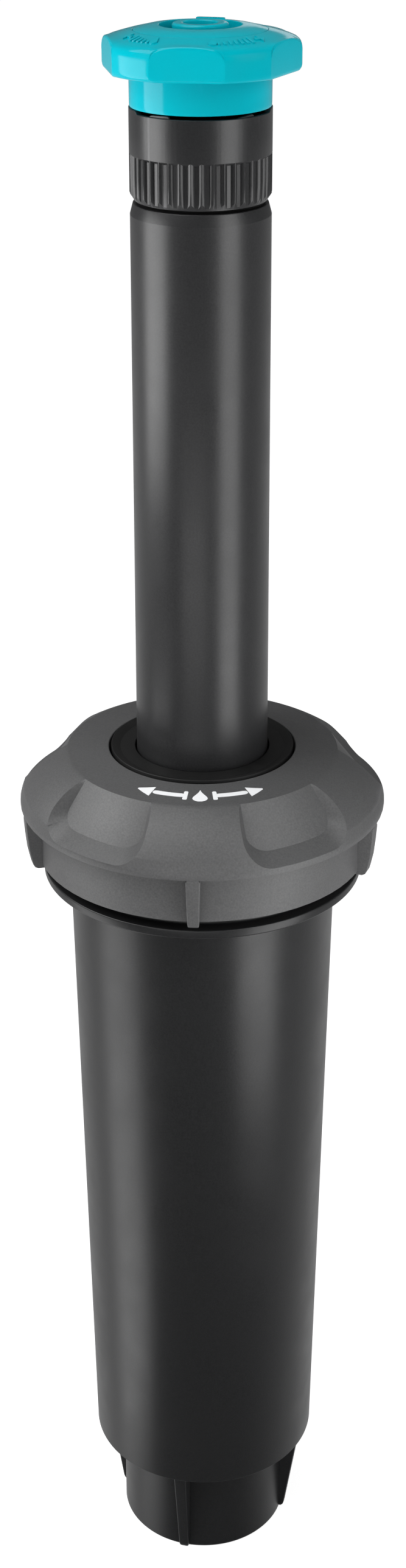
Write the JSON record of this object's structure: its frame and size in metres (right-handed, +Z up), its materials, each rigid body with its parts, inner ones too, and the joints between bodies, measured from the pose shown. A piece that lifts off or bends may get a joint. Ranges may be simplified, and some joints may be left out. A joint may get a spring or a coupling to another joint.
{
  "type": "pop-up sprinkler",
  "caption": "Pop-up lawn sprinkler: ribbed screw cap on a tapered housing with a threaded inlet, and a riser that rises from it with an adjustable spray head.",
  "frame": {"origin": "centre of the threaded inlet's rim, at the very bottom of the sprinkler", "axes": "+Z up along the riser, -Y towards the front, where the front petal of the cap is"},
  "size_m": [0.0584, 0.0584, 0.2623],
  "materials": {
    "black_plastic": "fine spark-eroded grain, satin",
    "grey_plastic": "fine spark-eroded grain, matt",
    "teal_plastic": "satin moulded",
    "black_rubber": "matt",
    "white_plastic": "natural acetal",
    "spring_steel": "drawn stainless wire"
  },
  "bodies": {
    "casing": {"housing": "black_plastic", "cap_oring": "black_rubber"},
    "seal_pack": {"wiper_seal": "black_rubber", "spring_seat": "white_plastic", "return_spring": "spring_steel"},
    "cap": {"screw_cap": "grey_plastic"},
    "guide": {"guide_ring": "white_plastic"},
    "riser": {"riser_tube": "black_plastic", "filter_basket": "white_plastic", "filter_screen": "spring_steel", "throttle_seat": "white_plastic", "nozzle_gasket": "black_rubber", "riser_oring": "black_rubber", "nozzle_collar": "black_plastic", "nozzle_core": "black_plastic", "head_oring": "black_rubber", "head_clip": "spring_steel"},
    "arc_head": {"arc_ring": "teal_plastic", "top_disc": "teal_plastic"},
    "throw": {"throw_knob": "teal_plastic", "flow_pin": "spring_steel"}
  },
  "joints": [
    {"name": "cap_lift", "type": "slide", "parent": "casing", "child": "seal_pack", "axis": [0, 0, 1], "range_m": [0, 0.0075]},
    {"name": "cap_turn", "type": "hinge", "parent": "seal_pack", "child": "cap", "pos_m": [0, 0, 0.14], "axis": [0, 0, 1], "range_deg": [0, 900]},
    {"name": "riser_slide", "type": "slide", "parent": "seal_pack", "child": "guide", "axis": [0, 0, 1], "range_m": [-0.105, 0], "deforming": ["return_spring"]},
    {"name": "riser_turn", "type": "hinge", "parent": "guide", "child": "riser", "pos_m": [0, 0, 0.13], "axis": [0, 0, 1], "continuous": true},
    {"name": "arc_turn", "type": "hinge", "parent": "riser", "child": "arc_head", "pos_m": [0, 0, 0.256], "axis": [0, 0, 1], "range_deg": [-120, 220]},
    {"name": "throw_turn", "type": "hinge", "parent": "riser", "child": "throw", "pos_m": [0, 0, 0.26], "axis": [0, 0, 1], "range_deg": [-360, 360]}
  ],
  "couplings": [
    {"joint": "cap_turn", "follows": "cap_lift", "rad_per_m": 2094.4}
  ]
}
